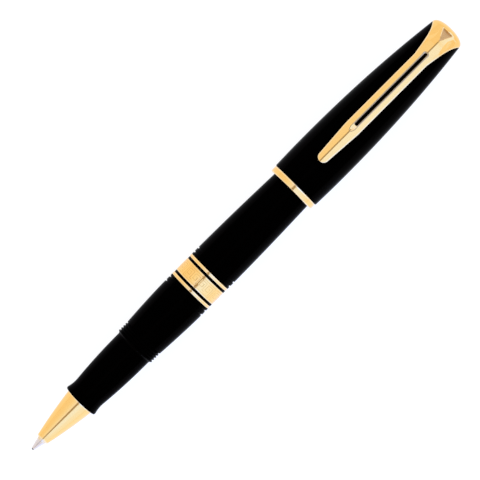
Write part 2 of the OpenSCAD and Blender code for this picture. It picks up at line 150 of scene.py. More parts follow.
RIDGE_Z = 6.9                # height of the ridge at the hinge
RISE = math.tan(math.radians(3.6))      # rise of the ridge towards the free end
SLOPE = 0.372                # fall of the clip's two upper faces, per millimetre from the ridge
CLIP_T = 0.75                # thickness
TIP, TIP_R = LIP + 10, 1.45
CLIP_W = 2.15                # half width of the arm, reached at FULL_W and kept until STRAIGHT
FULL_W, STRAIGHT = LIP + 21.4, CROWN - 9.5
PAD_R, PAD_GAP = 2.2, 0.15   # round pad under the free end, and how far it stands off the cap
SLOT_0, SLOT_1, SLOT_R = LIP + 22.6, CROWN - 7.3, 0.43
CUT_R, CUT_DEPTH = 0.76, 0.2            # chamfer round the slot
CUT_END = SLOT_1 + CUT_R - SLOT_R
BOAT = SLOT_0 - 2.1          # front of the pointed cut before the slot
POCKET, POCKET_END, POCKET_RAMP = CROWN - 2.95, CROWN + 0.5, 0.2   # triangular recess in the head
HEAD = 143.4                 # where the ridge starts to come down
CREASE = 2.1                 # where the head's upper faces turn down to its flanks
SHOULDER_R = 8.0             # radius over the head where it begins
HEAD_R = 4.84                # the same where it meets the crown
HEAD_SLOPE = 0.23            # SLOPE there
EDGE = 0.24                  # width of the chamfer round the clip
CROWN_R = 4.78


def clip_w(s):
    """Half width of the clip seen from above."""
    if s < TIP + TIP_R:
        return math.sqrt(max(0.0, TIP_R ** 2 - (TIP + TIP_R - s) ** 2))
    if s < FULL_W:
        return TIP_R + (CLIP_W - TIP_R) * (s - TIP - TIP_R) / (FULL_W - TIP - TIP_R)
    u = max(0.0, (s - STRAIGHT) / (CROWN - STRAIGHT))
    return CLIP_W + 1.5 * u + 1.05 * u ** 5


# ---------------------------------------------------------------- materials

WAVE_MM = 314.16             # scale of a wave texture whose period is 1 mm


def material(name, base, other, rough, metallic=0.0, grain=900.0, bump=0.1, depth=0.00001,
             specular=0.5, spec_tint=None, stretch=(1, 1, 1), lines=0.0):
    """Principled material: two close colours mixed by soft noise, a roughness that wanders, and fine
    relief, depth metres deep. With lines, it has the marks of turning, that many millimetres apart."""
    mat = bpy.data.materials.new(name)
    mat.use_nodes = True
    nodes, links = mat.node_tree.nodes, mat.node_tree.links
    shader = nodes["Principled BSDF"]
    shader.inputs["Metallic"].default_value = metallic
    shader.inputs["Specular IOR Level"].default_value = specular
    if spec_tint:
        shader.inputs["Specular Tint"].default_value = (*spec_tint, 1)
    place = nodes.new("ShaderNodeTexCoord")
    sized = nodes.new("ShaderNodeMapping")
    sized.inputs["Scale"].default_value = stretch
    links.new(place.outputs["Object"], sized.inputs["Vector"])

    broad = nodes.new("ShaderNodeTexNoise")
    broad.inputs["Scale"].default_value = grain
    broad.inputs["Detail"].default_value = 4
    links.new(sized.outputs["Vector"], broad.inputs["Vector"])
    mix = nodes.new("ShaderNodeMix")
    mix.data_type = "RGBA"
    mix.inputs["A"].default_value = (*base, 1)
    mix.inputs["B"].default_value = (*other, 1)
    links.new(broad.outputs["Fac"], mix.inputs["Factor"])
    links.new(mix.outputs["Result"], shader.inputs["Base Color"])

    fine = nodes.new("ShaderNodeTexNoise")
    fine.inputs["Scale"].default_value = grain * 4
    fine.inputs["Detail"].default_value = 6
    fine.inputs["Roughness"].default_value = 0.65
    links.new(sized.outputs["Vector"], fine.inputs["Vector"])
    spread = nodes.new("ShaderNodeMapRange")
    spread.inputs["From Min"].default_value = 0.3
    spread.inputs["From Max"].default_value = 0.7
    spread.inputs["To Min"].default_value = rough[0]
    spread.inputs["To Max"].default_value = rough[1]
    links.new(fine.outputs["Fac"], spread.inputs["Value"])
    links.new(spread.outputs["Result"], shader.inputs["Roughness"])

    relief = nodes.new("ShaderNodeBump")
    relief.inputs["Strength"].default_value = bump
    relief.inputs["Distance"].default_value = depth
    if lines:
        turning = nodes.new("ShaderNodeTexWave")
        turning.bands_direction = "X"
        turning.inputs["Scale"].default_value = WAVE_MM / lines
        turning.inputs["Distortion"].default_value = 1.5
        turning.inputs["Detail"].default_value = 2
        links.new(place.outputs["Object"], turning.inputs["Vector"])
        both = nodes.new("ShaderNodeMath")
        both.operation = "MULTIPLY_ADD"
        both.inputs[1].default_value = 0.5
        links.new(turning.outputs["Fac"], both.inputs[0])
        links.new(fine.outputs["Fac"], both.inputs[2])
        links.new(both.outputs["Value"], relief.inputs["Height"])
    else:
        links.new(fine.outputs["Fac"], relief.inputs["Height"])
    links.new(relief.outputs["Normal"], shader.inputs["Normal"])
    return mat


GILT = material(
    "gilt", (0.965, 0.568, 0.168), (0.98, 0.588, 0.182), (0.08, 0.12), 1.0,
    grain=500, bump=0.03, depth=0.000004, stretch=(0.5, 1, 1))
# Paler gilt is a painted highlight: on the rims of the clip and crown, the edges of the recess, the -Y
# side of the cut before the slot, and the chamfers of the nose cone, the bands and the cap's mouth ring.
GILT_PAINTED_HIGHLIGHT = material(
    "gilt_painted_highlight", (0.955, 0.675, 0.33), (0.965, 0.705, 0.37), (0.16, 0.24), 1.0,
    grain=900, bump=0.08, depth=0.000004)
# Rougher gilt for the floor of the recess in the clip's head and crown; its darker colour is painted
# shade.
GILT_MATT_SHADED = material(
    "gilt_matt_painted_shade", (0.62, 0.36, 0.135), (0.69, 0.405, 0.155), (0.36, 0.46), 1.0,
    grain=2500, bump=0.35, depth=0.00001)
# Darker, greyer gilt on the chamfer round the slot and on the slot's walls: painted shade.
GILT_SLOT_SHADE = material(
    "gilt_slot_painted_shade", (0.46, 0.34, 0.195), (0.57, 0.43, 0.255), (0.22, 0.32), 1.0,
    grain=1500, bump=0.15, depth=0.000006)
# Dark brown gilt on the edges of the pointed cut before the slot: a painted shadow line.
GILT_SHADOW_LINE = material(
    "gilt_painted_shadow_line", (0.15, 0.09, 0.045), (0.22, 0.135, 0.07), (0.25, 0.35), 1.0,
    grain=1500, bump=0.15, depth=0.000006)
# Deeper, darker gilt in the engraved lines of the band: painted shade.
GILT_ENGRAVED_SHADED = material(
    "gilt_engraved_painted_shade", (0.84, 0.44, 0.115), (0.90, 0.49, 0.14), (0.16, 0.24), 1.0,
    grain=1500, bump=0.1, depth=0.000005)
RESIN = material(
    "black_resin", (0.0004, 0.0003, 0.0003), (0.0009, 0.0006, 0.0006), (0.06, 0.11),
    grain=220, bump=0.03, depth=0.000003, specular=0.008, spec_tint=(1.0, 0.75, 0.65),
    stretch=(0.4, 1, 1))
STEEL = material(
    "nickel_silver", (0.73, 0.645, 0.61), (0.78, 0.685, 0.645), (0.13, 0.2), 1.0,
    grain=2500, bump=0.1, depth=0.000004, lines=0.09)
STEEL_EDGE = material(
    "nickel_silver_edge", (0.80, 0.61, 0.38), (0.84, 0.65, 0.42), (0.16, 0.22), 1.0,
    grain=2500, bump=0.05, depth=0.000003)
CARBIDE = material(
    "tungsten_carbide", (0.03, 0.032, 0.03), (0.06, 0.062, 0.06), (0.14, 0.24), 1.0,
    grain=6000, bump=0.1, depth=0.000002)
BRASS = material(
    "turned_brass", (0.70, 0.46, 0.17), (0.78, 0.54, 0.24), (0.2, 0.32), 1.0,
    grain=1500, bump=0.25, depth=0.000006, lines=0.12)
DARK_PLASTIC = material(
    "dark_plastic", (0.018, 0.017, 0.018), (0.028, 0.026, 0.027), (0.36, 0.5),
    grain=2500, bump=0.2, depth=0.00001, specular=0.4)
REFILL_PLASTIC = material(
    "refill_plastic", (0.70, 0.71, 0.72), (0.76, 0.77, 0.78), (0.3, 0.4),
    grain=1500, bump=0.1, depth=0.000006)
FIBRE = material(
    "fibre", (0.80, 0.79, 0.75), (0.90, 0.89, 0.86), (0.85, 0.95),
    grain=3000, bump=0.6, depth=0.00003, stretch=(0.1, 1, 1))
INK = material(
    "ink_fibre", (0.012, 0.016, 0.06), (0.03, 0.036, 0.11), (0.8, 0.92),
    grain=3000, bump=0.6, depth=0.00003, stretch=(0.1, 1, 1))
SPRING = material(
    "spring_steel", (0.54, 0.55, 0.57), (0.62, 0.63, 0.65), (0.2, 0.3), 1.0,
    grain=3000, bump=0.15, depth=0.000005)

# ---------------------------------------------------------------- mesh helpers


def to_frame(points):
    """Points of (station, across, height above the axis) in millimetres, as metres in the frame."""
    p = np.asarray(points, float)
    return np.column_stack([p[:, 0] - HALF, p[:, 1], p[:, 2] + AXIS]) * 0.001


def piece(name, points, faces, mats, body, replaced=(), marks=None, sharp=32.0):
    """One mesh, in millimetres, with its materials. marks gives each face its material's number, and
    edges over sharp degrees stay sharp. With no body, the piece is left attached to none."""
    mesh = bpy.data.meshes.new(name)
    mesh.from_pydata(to_frame(points).tolist(), [], [tuple(int(i) for i in f) for f in faces])
    for m in mats:
        mesh.materials.append(m)
    if marks is not None:
        mesh.polygons.foreach_set("material_index", np.asarray(marks, np.int32))
    bm = bmesh.new()
    bm.from_mesh(mesh)
    bmesh.ops.remove_doubles(bm, verts=bm.verts, dist=2e-7)
    bmesh.ops.recalc_face_normals(bm, faces=bm.faces)
    bm.to_mesh(mesh)
    bm.free()
    mesh.shade_smooth()
    mesh.set_sharp_from_angle(angle=math.radians(sharp))
    obj = bpy.data.objects.new(name, mesh)
    bpy.context.scene.collection.objects.link(obj)
    if body:
        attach(obj, body)
    if replaced:
        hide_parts(*replaced)
    return obj


def corners(outline):
    """Points and marks of an outline of (s, r[, rounding[, mark]]), with its rounded corners as arcs."""
    pts, marks = [], []
    n = len(outline)
    for i, item in enumerate(outline):
        s, r, rho, mark = (tuple(item) + (0.0, 0))[:4] if len(item) < 4 else item
        if not rho:
            pts.append((s, r))
            marks.append(mark)
            continue
        here = np.array([s, r], float)
        before = np.array(outline[i - 1][:2], float) - here
        after = np.array(outline[(i + 1) % n][:2], float) - here
        la, lb = np.linalg.norm(before), np.linalg.norm(after)
        cut = min(rho, 0.49 * la, 0.49 * lb)
        a, b = here + before / la * cut, here + after / lb * cut
        for t in steps(0.0, 1.0, 6):
            q = (1 - t) ** 2 * a + 2 * t * (1 - t) * here + t ** 2 * b
            pts.append((q[0], q[1]))
            marks.append(mark)
    return np.array(pts), np.array(marks)


def turned(name, outline, mats, body, replaced, segs, relief=None, sharp=32.0, cut=None):
    """Turns a closed outline about the pen's axis, in segs steps. relief(s, angle, r) adds to the
    radius, and a face that it sinks deeper than cut takes the last material."""
    pts, marks = corners(outline)
    n = len(pts)
    ang = np.arange(segs) * 2 * math.pi / segs
    s = np.repeat(pts[:, 0][:, None], segs, 1)
    r = np.repeat(pts[:, 1][:, None], segs, 1)
    a = np.repeat(ang[None, :], n, 0)
    sunk = np.zeros(s.shape) if relief is None else relief(s, a, r)
    r = r + sunk
    verts = np.stack([s, r * np.sin(a), r * np.cos(a)], -1).reshape(-1, 3)
    i = np.arange(n)[:, None]
    j = np.arange(segs)[None, :]
    k, m = (i + 1) % n, (j + 1) % segs
    faces = np.stack([i * segs + j, i * segs + m, k * segs + m, k * segs + j], -1).reshape(-1, 4)
    flat = (pts[:, 1] < 1e-6) & (np.roll(pts[:, 1], -1) < 1e-6)
    keep = np.repeat(~flat, segs)
    face_marks = np.repeat(marks, segs)
    if cut is not None:
        across = sunk + np.roll(sunk, -1, 1)
        deep = (across + np.roll(across, -1, 0)) / 4
        face_marks = np.where(deep.reshape(-1) < -cut, len(mats) - 1, face_marks)
    face_marks = face_marks[keep]
    return piece(name, verts, faces[keep], mats, body, replaced, face_marks, sharp)


# ---------------------------------------------------------------- writing end

turned(
    "writing_point",
    [(0.2, 0.05, 0.0, 2), (0.2, 0.36, 0.05, 2), (0.36, 0.44, 0.05), (3.08, 1.13, 0.05),
     (3.16, 1.17, 0.03, 1), (3.3, 1.2, 0.05, 1), (3.62, 1.2), (13.0, 1.2, 0.1), (13.0, 0.45),
     (1.0, 0.45), (1.0, 0.2), (0.6, 0.2), (0.52, 0.36), (0.3, 0.3)],
    [STEEL, STEEL_EDGE, CARBIDE], "refill", ["refill_point"], 96)

turned(
    "nose_cone_shell",
    [(NOSE, 1.34, 0.04, 1), (NOSE, 1.72, 0.12, 1)]
    + [(s, nose_r(s)) for s in steps(NOSE + 0.35, GRIP - 0.32, 40)]
    + [(GRIP - 0.26, nose_r(GRIP - 0.26), 0.0, 1), (GRIP - 0.1, 4.05, 0.05, 1), (GRIP, 4.05, 0.05, 1),
       (GRIP, 3.74), (GRIP + 0.02, SPIGOT_R), (GRIP + 5, SPIGOT_R, 0.15), (GRIP + 5, 3.2, 0.1),
       (13.55, 3.2), (13.55, 2.3), (9.5, 2.3), (9.5, 1.34)],
    [GILT, GILT_PAINTED_HIGHLIGHT], "section", ["nose_cone"], 224)

# ---------------------------------------------------------------- grip section


def groove(mid):
    """A fine groove of rounded bottom round the collar."""
    bottom = COLLAR_R - 0.27
    return [(mid - 0.22, COLLAR_R, 0.05), (mid - 0.15, bottom, 0.08), (mid + 0.15, bottom, 0.08),
            (mid + 0.22, COLLAR_R, 0.05)]


ribs = []
for i in range(4):
    s0 = GRIP + 19.4 + i * 0.77
    ribs += [(s0, 5.45, 0.06), (s0 + 0.29, 5.8, 0.07), (s0 + 0.48, 5.8, 0.07)]
ribs.append((GRIP + 22.48, 5.45, 0.06))

turned(
    "grip",
    [(GRIP, 3.75), (GRIP, 4.72, 0.1), (GRIP + 0.12, 4.88, 0.12), (GRIP + 0.45, grip_r(GRIP + 0.5), 0.1)]
    + [(s, grip_r(s)) for s in steps(GRIP + 0.8, GRIP + 19.1, 60)]
    + ribs
    + [(s, grip_r(s)) for s in steps(GRIP + 22.8, RING_1 - 2.6, 40)]
    + groove(RING_1 - 2.2) + groove(RING_1 - 0.8)
    + [(RING_1, COLLAR_R, 0.04), (RING_1, 4.8, 0.1), (NIPPLE, 4.8), (NIPPLE, 3.92),
       (GRIP + 5.1, 3.92), (GRIP + 5.1, 3.75)],
    [RESIN], "section", ["grip_section"], 256)


# ---------------------------------------------------------------- thread between section and barrel

def wave(s, a):
    """Right-handed wave that both threads follow."""
    return np.cos(2 * math.pi * s / PITCH - (math.pi / 2 - a))


def male(s, a, r):
    """Thread cut into the nipple, fading out at its ends."""
    fade = np.clip(np.minimum(s - MALE_0, MALE_1 - s) / 0.4, 0, 1)
    return np.where((r > 4.6) & (s > MALE_0 - 0.05), THREAD_DEPTH * (fade * (wave(s, a) + 1) - 1), 0.0)


def female(s, a, r):
    """Thread raised inside the bush, fading out at its ends."""
    fade = np.clip(np.minimum(s - SPACER_1, FEMALE_1 - s) / 0.4, 0, 1)
    return np.where(r < 5.2, THREAD_DEPTH * fade * (wave(s, a) - 1), 0.0)


turned(
    "threaded_nipple",
    [(NIPPLE, 3.35), (NIPPLE, MALE_R), (SPACER_1, MALE_R)]
    + [(s, MALE_R) for s in steps(MALE_0, MALE_1, 130)]
    + [(SPACER_1 + 5.25, 3.35)],
    [BRASS], "section", ["section_nipple"], 96, male, 60)

turned(
    "threaded_bush",
    [(BUSH_END, 5.5, 0.1), (BUSH_END, FEMALE_R, 0.1), (SPACER_1 + 5.9, FEMALE_R)]
    + [(s, FEMALE_R) for s in steps(FEMALE_1, SPACER_1 + 0.05, 146)]
    + [(SPACER_1, 5.12), (SPACER_1, 5.5, 0.08)],
    [BRASS], "barrel", ["barrel_insert"], 96, female, 60)

# ---------------------------------------------------------------- bands

def trim_ring(name, s, bore, body, node):
    """Narrow band from station s, a little crowned, with a painted highlight on its chamfers."""
    e = s + 0.9
    turned(
        name,
        [(s, bore, 0.05), (s, BAND_R - 0.2, 0.03), (s + 0.06, BAND_R - 0.12, 0.03),
         (s + 0.1, BAND_R - 0.01, 0.05, 1), (s + 0.26, BAND_R + 0.005, 0.04, 0),
         (s + 0.45, BAND_R + 0.02), (e - 0.24, BAND_R + 0.005, 0.04, 1),
         (e - 0.07, BAND_R - 0.01, 0.05), (e, BAND_R - 0.12, 0.05), (e, bore, 0.05)],
        [GILT, GILT_PAINTED_HIGHLIGHT], body, [node], 256)


trim_ring("front_ring_gilt", RING_1, 5.15, "front_ring", "front_trim_ring")
trim_ring("rear_ring_gilt", RING_2, BORE, "barrel", "rear_trim_ring")

for label, s in (("front", SPACER_1), ("rear", SPACER_2)):
    turned(
        label + "_spacer_ring",
        [(s, BORE), (s, 6.3, 0.04), (s + 0.1, 6.32, 0.04), (s + 0.5, 6.32, 0.04), (s + 0.6, 6.3, 0.04),
         (s + 0.6, BORE)],
        [RESIN], "barrel", [label + "_spacer"], 224)

# One square-cornered scroll of the band's engraving, as strokes in a cell 2.5 wide and 2 high
SCROLL = [
    ((-1.25, -1.0), (-0.9, -1.0)), ((-0.9, -1.0), (-0.9, 1.0)), ((-0.9, 1.0), (0.9, 1.0)),
    ((0.9, 1.0), (0.9, -0.5)), ((0.9, -0.5), (-0.25, -0.5)), ((-0.25, -0.5), (-0.25, 0.4)),
    ((-0.25, 0.4), (0.35, 0.4)), ((0.9, -1.0), (1.25, -1.0))]
SCROLL_SIZE = 0.9            # a cell's length is 2.5 times this
ENGRAVED = 0.03              # depth


def engraving(s, a, r):
    """Four framed panels of square scrolls, cut a few hundredths of a millimetre deep."""
    quarter = math.pi / 2
    u = (np.mod(a + quarter / 2, quarter) - quarter / 2) * BAND_R
    v = s - (BAND + 2.075)
    half = quarter / 2 * BAND_R
    frame_gap = np.minimum(half - 0.35 - np.abs(u), 1.5 - np.abs(v))
    depth = np.exp(-(frame_gap / 0.07) ** 2)
    length = 2.5 * SCROLL_SIZE
    cell = np.mod(u + half - 0.55, length) - length / 2
    inside = (np.abs(u) < half - 0.6) & (np.abs(v) < 1.3)
    near = np.full(s.shape, 9.0)
    for (x0, y0), (x1, y1) in SCROLL:
        x0, x1 = x0 * SCROLL_SIZE, x1 * SCROLL_SIZE
        dx, dy = x1 - x0, y1 - y0
        t = np.clip(((cell - x0) * dx + (v - y0) * dy) / (dx * dx + dy * dy), 0, 1)
        near = np.minimum(near, np.hypot(cell - x0 - t * dx, v - y0 - t * dy))
    depth = np.maximum(depth, np.where(inside, np.exp(-(near / 0.075) ** 2), 0.0))
    return np.where((r > BAND_R - 0.01) & (np.abs(v) < 1.95), -ENGRAVED * depth, 0.0)


turned(
    "engraved_band_gilt",
    [(BAND, BORE), (BAND, BAND_R - 0.2, 0.03), (BAND + 0.06, BAND_R - 0.12, 0.03),
     (BAND + 0.1, BAND_R, 0.04, 1)]
    + [(s, BAND_R, 0.0, 1 if s < BAND + 0.2 or s >= BAND + 3.93 else 0)
       for s in steps(BAND + 0.14, BAND + 4.03, 72)]
    + [(BAND + 4.08, BAND_R, 0.05), (SPACER_2, BAND_R - 0.12, 0.05), (SPACER_2, BORE)],
    [GILT, GILT_PAINTED_HIGHLIGHT, GILT_ENGRAVED_SHADED], "barrel", ["engraved_band"], 720, engraving, cut=0.014)

# ---------------------------------------------------------------- barrel

PLUG = TAIL - 3              # seam between the barrel and its tail end
TAIL_EDGE = 0.9              # rounding of the tail's edge
SEAT = TAIL - 4              # floor of the tail end's cup, where the spring sits

turned(
    "barrel_tube",
    [(BARREL, BORE), (BARREL, COLLAR_R, 0.04)] + groove(BARREL + 0.8) + groove(BARREL + 2.2)
    + [(s, barrel_r(s)) for s in steps(BARREL + 2.6, PLUG - 0.02, 90)]
    + [(PLUG, barrel_r(PLUG) - 0.02)]
    + [(s, barrel_r(s) - BARREL_WALL) for s in steps(PLUG, BUSH_END, 30)]
    + [(BUSH_END, BORE)],
    [RESIN], "barrel", ["barrel_shell"], 256)

tail_r = barrel_r(TAIL - TAIL_EDGE) - TAIL_EDGE
turned(
    "tail_end",
    [(PLUG, barrel_r(PLUG) - 0.02)]
    + [(s, barrel_r(s)) for s in steps(PLUG + 0.04, TAIL - TAIL_EDGE, 10)]
    + [(TAIL - TAIL_EDGE + TAIL_EDGE * math.sin(t), tail_r + TAIL_EDGE * math.cos(t))
       for t in steps(0.15, 1.57, 10)]
    + [(TAIL, 0.0), (SEAT, 0.0), (SEAT, 2.6), (TAIL - 7, 2.62, 0.1), (TAIL - 7, 3.3, 0.1), (PLUG, 3.3)],
    [DARK_PLASTIC], "barrel", ["tail_plug"], 192)

WIRE_R, COIL_R, TURNS = 0.22, 2.2, 5
SPRING_0, SPRING_1 = 110.7, SEAT         # front and rear of the tail spring


def spring_mesh():
    """Round wire wound in a coil, its end turns closer together than those between."""
    per_turn, sides = 40, 12
    rows = TURNS * per_turn
    lead = SPRING_1 - SPRING_0 - 2 * WIRE_R
    points, faces = [], []
    for i in range(rows + 1):
        a = 2 * math.pi * i / per_turn
        along = (i / rows - 0.1) / 0.8
        s = SPRING_0 + WIRE_R + lead * float(0.35 * ease(along) + 0.65 * np.clip(along, 0, 1))
        for k in range(sides):
            b = 2 * math.pi * k / sides
            r = COIL_R + WIRE_R * math.cos(b)
            points.append((s + WIRE_R * math.sin(b), r * math.sin(a), r * math.cos(a)))
    for i in range(rows):
        for k in range(sides):
            j = (k + 1) % sides
            faces.append((i * sides + k, i * sides + j, (i + 1) * sides + j, (i + 1) * sides + k))
    faces += [tuple(range(sides)), tuple(rows * sides + k for k in range(sides))]
    return points, faces


points, faces = spring_mesh()
spring = piece("tail_spring_coil", points, faces, [SPRING], "barrel", ["tail_spring"])
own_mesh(spring)

# ---------------------------------------------------------------- cap

lip_bore = barrel_r(LIP) + 0.06
turned(
    "cap_mouth_ring",
    [(LIP, lip_bore, 0.1), (LIP, 6.72, 0.12, 1), (LIP + 0.14, 6.92, 0.1, 1), (LIP + 0.38, 6.98, 0.1, 0),
     (LIP + 0.9, 7.0), (SHELL - 0.3, 6.98, 0.1, 1), (SHELL - 0.1, 6.93, 0.08, 1), (SHELL, 6.8, 0.05, 0),
     (SHELL, lip_bore)],
    [GILT, GILT_PAINTED_HIGHLIGHT], "cap", ["cap_lip_ring"], 256)

clutch_r = cap_r(SHELL) - CAP_WALL - 0.02
turned(
    "cap_clutch_ring",
    [(SHELL, lip_bore)]
    + [(s, lip_bore + 0.04 * math.cos((s - SHELL) * 5)) for s in steps(SHELL + 0.3, SHELL + 4.7, 24)]
    + [(SHELL + 5, lip_bore + 0.1, 0.1), (SHELL + 5, clutch_r), (SHELL, clutch_r)],
    [DARK_PLASTIC], "cap", ["cap_clutch"], 160)

SEAT_0, SEAT_DEPTH = 145.0, 0.56         # shallow seat in the cap for the clip's head


def under_head(s, a, r):
    """The seat that the clip's head lies in, near the cap's rim."""
    width = np.vectorize(clip_w)(s)
    hidden = (s > SEAT_0) & (r > 4.2) & (np.cos(a) > 0) & (np.abs(r * np.sin(a)) < width - 0.3)
    return np.where(hidden, -SEAT_DEPTH * ease((s - SEAT_0) / 1.2), 0.0)


turned(
    "cap_tube",
    [(SHELL, cap_r(SHELL) - CAP_WALL), (SHELL, cap_r(SHELL) - 0.04, 0.05)]
    + [(s, cap_r(s)) for s in steps(SHELL + 0.12, CROWN - 0.03, 110)]
    + [(CROWN, cap_r(CROWN) - 0.03), (CROWN, 4.12), (CROWN - 1, 4.12), (CROWN - 1, STUD_R),
       (CAP_FLOOR, STUD_R)]
    + [(s, cap_r(s) - CAP_WALL) for s in steps(CAP_FLOOR, SHELL + 0.2, 50)],
    [RESIN], "cap", ["cap_shell"], 288, under_head)

turned(
    "cap_liner",
    [(LINER, cap_r(LINER) - LINER_R, 0.1)]
    + [(s, cap_r(s) - LINER_R) for s in steps(LINER + 0.4, CAP_FLOOR, 40)]
    + [(CAP_FLOOR, STUD_R), (LINER_FLOOR, STUD_R)]
    + [(s, cap_r(s) - LINER_R - 0.8) for s in steps(LINER_FLOOR, LINER + 0.4, 40)]
    + [(LINER, cap_r(LINER) - 1.5, 0.2)],
    [DARK_PLASTIC], "cap", ["inner_cap"], 160)

# ---------------------------------------------------------------- clip, its root and the crown

# The clip's and crown's materials: gilt, and copies of it with painted light: a painted highlight, matt
# gilt darkened with painted shade, painted shade in the slot, and a painted shadow line.
CLIP_MATS = [GILT, GILT_PAINTED_HIGHLIGHT, GILT_MATT_SHADED, GILT_SLOT_SHADE, GILT_SHADOW_LINE]
PLAIN, PAINTED_HIGHLIGHT, RECESS_SHADE, SLOT_SHADE, SHADOW_LINE = range(len(CLIP_MATS))
RIM_ROWS = 6                 # rows of faces on the clip's rim, which carries a painted highlight


def slot_w(s):
    """Half width of the long slot, which has round ends."""
    past = max(SLOT_0 + SLOT_R - s, s - (SLOT_1 - SLOT_R), 0.0)
    return math.sqrt(max(0.0, SLOT_R ** 2 - past ** 2))


def pocket_w(s):
    """Half width of the triangular recess."""
    return 0.44 * (s - POCKET)


def cut_w(s):
    """Half width of the cut along the ridge: a narrow flat, the chamfer round the slot, the recess."""
    flat = 0.17
    boat = (s - BOAT) / (SLOT_0 - BOAT)
    past = s - (SLOT_1 - SLOT_R)
    if s > POCKET:
        return max(flat, pocket_w(s))
    if boat <= 0 or past >= CUT_R:
        return flat
    if boat < 1:
        return flat + (CUT_R - flat) * math.sin(boat * math.pi / 2) ** 0.9
    return CUT_R if past < 0 else max(flat, math.sqrt(CUT_R ** 2 - past ** 2))


def cut_depth(s):
    """Depth of the cut at the slot's edge, from nothing at both its ends."""
    boat = (s - BOAT) / (SLOT_0 - BOAT)
    back = (CUT_END - s) / (CUT_R - SLOT_R)
    return CUT_DEPTH * min(1.0, max(0.0, min(boat, back)))


def pocket_z(s):
    """Height of the recess's floor."""
    return 6.0 - 0.55 * (s - POCKET)


def head_z(s):
    """Height of the ridge, which rounds over on the head and comes straight down to the crown."""
    ridge = RIDGE_Z + RISE * (HINGE - s)
    u = max(0.0, (s - HEAD) / (CROWN - HEAD))
    down = u * u / 0.4375 if u < 0.25 else (u - 0.125) / 0.875
    return ridge + (HEAD_R - ridge) * down


def crease_y(s):
    """Where the upper faces turn down to the flanks, which lies closer to the ridge over the head."""
    return float(np.interp(s, [142.5, 145.0, 146.5, CROWN], [CREASE, 1.65, 1.65, 2.2]))


def skirt_z(s, y):
    """Height of the head's thin skirt, which follows the cap on both sides of the spine."""
    r = cap_r(s) + float(np.interp(s, [HINGE, CROWN], [0.5, HEAD_R - cap_r(CROWN)]))
    return math.sqrt(max(0.0, r * r - y * y))


def top_z(s, y):
    """Height of the clip's upper faces: a roof over the arm, and over the head a spine above a skirt."""
    slope = float(np.interp(s, [144.0, CROWN], [SLOPE, HEAD_SLOPE]))
    flank = float(np.interp(s, [140.0, 144.5], [SLOPE, 1.1]))
    crease = crease_y(s)
    z = head_z(s) - slope * min(y, crease)
    if s < HINGE:
        return z - flank * max(0.0, y - crease)
    if y > crease:
        z = max(z - flank * (y - crease), min(z, skirt_z(s, y)))
    shoulder = SHOULDER_R + (HEAD_R - SHOULDER_R) * ((s - HINGE) / (CROWN - HINGE)) ** 2
    return min(z, math.sqrt(max(0.0, shoulder ** 2 - y ** 2)))


def roof_rows(s, first, last):
    """Places across the clip for its rows, some on the crease and on the skirt's inner edge."""
    crease = min(max(crease_y(s), first + 0.06), last - 0.08)
    foot = crease
    while s > HINGE and foot < last and top_z(s, foot) > skirt_z(s, foot) + 1e-6:
        foot += 0.02
    foot = min(max(foot, crease + 0.04), last - 0.04) if s > HINGE else last - 0.04
    return steps(first, crease, 4) + steps(crease, foot, 3)[1:] + steps(foot, last, 3)[1:]


def under_z(s, y):
    """Height of the clip's underside: parallel to the roof, with a round pad near the free end, and on
    the cap under the head."""
    on_cap = math.sqrt(max(0.0, (cap_r(s) + 0.02) ** 2 - y ** 2))
    if s > HINGE:
        return on_cap
    z = RIDGE_Z + RISE * (HINGE - s) - SLOPE * y - CLIP_T
    gap = PAD_R ** 2 - (s - TIP - 2.6) ** 2 - y ** 2
    if gap > 0 and s < TIP + 5:
        z = min(z, CAP_R + PAD_GAP + PAD_R - math.sqrt(gap))
    return z + (on_cap - z) * float(ease((s - HINGE + 3.5) / 3.5))


def half_section(s):
    """The clip's section on one side of the ridge, from the ridge or slot outwards: upper points and
    lower points. The last RIM_ROWS steps are its rim."""
    w, slot = clip_w(s), slot_w(s)
    edge = min(EDGE, 0.45 * w)
    cut = min(cut_w(s), 0.3 * w)
    bevel = 0.12 if BOAT < s < CUT_END else 0.02
    if s > POCKET:
        bevel += 0.2 * max(0.0, min(1.0, (s - POCKET - 0.5) / 1.2))
    ys = [slot, cut] + roof_rows(s, cut + bevel, w - edge) + steps(w - edge, w, RIM_ROWS)[1:]
    upper, lower = [], []
    for k, y in enumerate(ys):
        z = top_z(s, max(y, cut) if k < 2 else y)
        if k < 2 and s > POCKET:
            z = pocket_z(s)
        elif k == 0:
            z -= cut_depth(s)
        inside = w - y if s > TIP + TIP_R else TIP_R - math.hypot(s - TIP - TIP_R, y)
        if inside < EDGE:
            z -= 0.25 * (EDGE - max(inside, 0.0))
        upper.append((s, y, z))
        lower.append((s, y, min(under_z(s, y), z - 0.04)))
    return upper, lower


def clip_stations():
    """Stations of the clip's sections, close together where its outline or its cuts curve."""
    quarter = [math.radians(a) for a in range(10, 91, 10)]
    found = [TIP + TIP_R * (1 - math.cos(math.radians(a))) for a in range(5, 90, 5)]
    found += steps(TIP + TIP_R, BOAT, 26) + steps(BOAT, SLOT_0, 14)
    found += [SLOT_0 + SLOT_R * (1 - math.cos(a)) for a in quarter]
    found += steps(SLOT_0 + SLOT_R, SLOT_1 - SLOT_R, 40)
    found += [SLOT_1 - SLOT_R + SLOT_R * math.sin(a) for a in quarter]
    found += steps(SLOT_1, CUT_END, 8) + steps(CUT_END, HINGE - 0.01, 6)
    found += steps(HINGE + 0.01, POCKET - 0.01, 14) + steps(POCKET + 0.01, CROWN, 26)
    return sorted({round(s, 5) for s in found})


